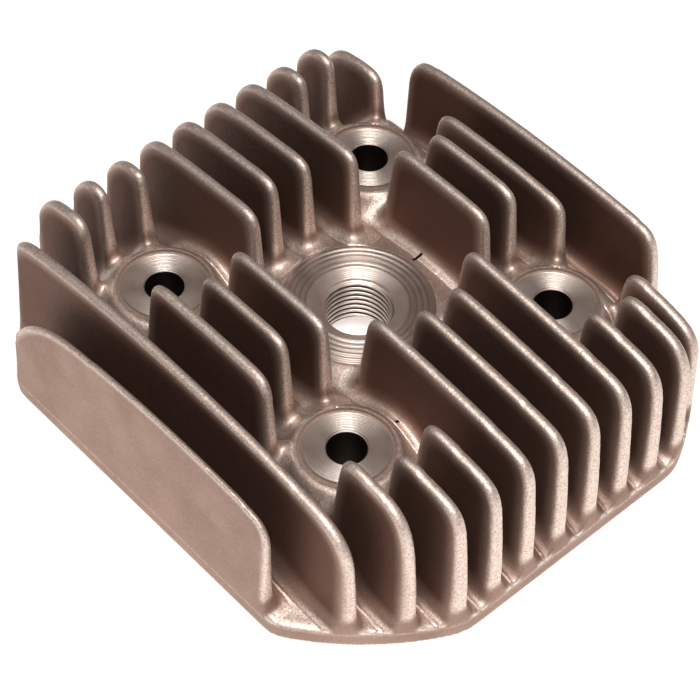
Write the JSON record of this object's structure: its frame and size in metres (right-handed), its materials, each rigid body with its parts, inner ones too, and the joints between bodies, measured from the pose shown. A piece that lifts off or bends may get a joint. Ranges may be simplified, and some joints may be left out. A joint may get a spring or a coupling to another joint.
{
  "type": "cylinder head",
  "caption": "Air-cooled engine cylinder head with parallel cooling fins, sunk stud seats and a central threaded spark plug hole.",
  "frame": {"origin": "middle of the deck's footprint, on the gasket face; the cylinder axis passes through x = -4.4 mm, y = +2.4 mm", "axes": "+Z away from the cylinder, towards the fin crests; +X along the fins, towards the deck's longer side; +Y across the fins, towards the back"},
  "size_m": [0.1072, 0.1004, 0.0369],
  "materials": {
    "cast_aluminium": "as-cast, fine sand texture, satin",
    "machined_aluminium": "turned or spot-faced, bright, with fine concentric tool marks"
  },
  "bodies": {
    "root": {"crown": "cast_aluminium", "deck_plate": "cast_aluminium", "fin_01": "cast_aluminium", "fin_02": "cast_aluminium", "fin_03_left": "cast_aluminium", "fin_03_middle": "cast_aluminium", "fin_03_right": "cast_aluminium", "fin_04_left": "cast_aluminium", "fin_04_middle": "cast_aluminium", "fin_04_right": "cast_aluminium", "fin_05_left": "cast_aluminium", "fin_05_middle": "cast_aluminium", "fin_05_right": "cast_aluminium", "fin_06_left": "cast_aluminium", "fin_06_right": "cast_aluminium", "fin_07_left": "cast_aluminium", "fin_07_right": "cast_aluminium", "fin_08_left": "cast_aluminium", "fin_08_right": "cast_aluminium", "fin_09_left": "cast_aluminium", "fin_09_right": "cast_aluminium", "fin_10_left": "cast_aluminium", "fin_10_middle": "cast_aluminium", "fin_10_right": "cast_aluminium", "fin_11_left": "cast_aluminium", "fin_11_middle": "cast_aluminium", "fin_11_right": "cast_aluminium", "fin_12_left": "cast_aluminium", "fin_12_middle": "cast_aluminium", "fin_12_right": "cast_aluminium", "fin_13": "cast_aluminium", "plug_seat": "machined_aluminium", "stud_boss_back_left": "machined_aluminium", "stud_boss_back_right": "machined_aluminium", "stud_boss_front_left": "machined_aluminium", "stud_boss_front_right": "machined_aluminium"}
  },
  "joints": []
}
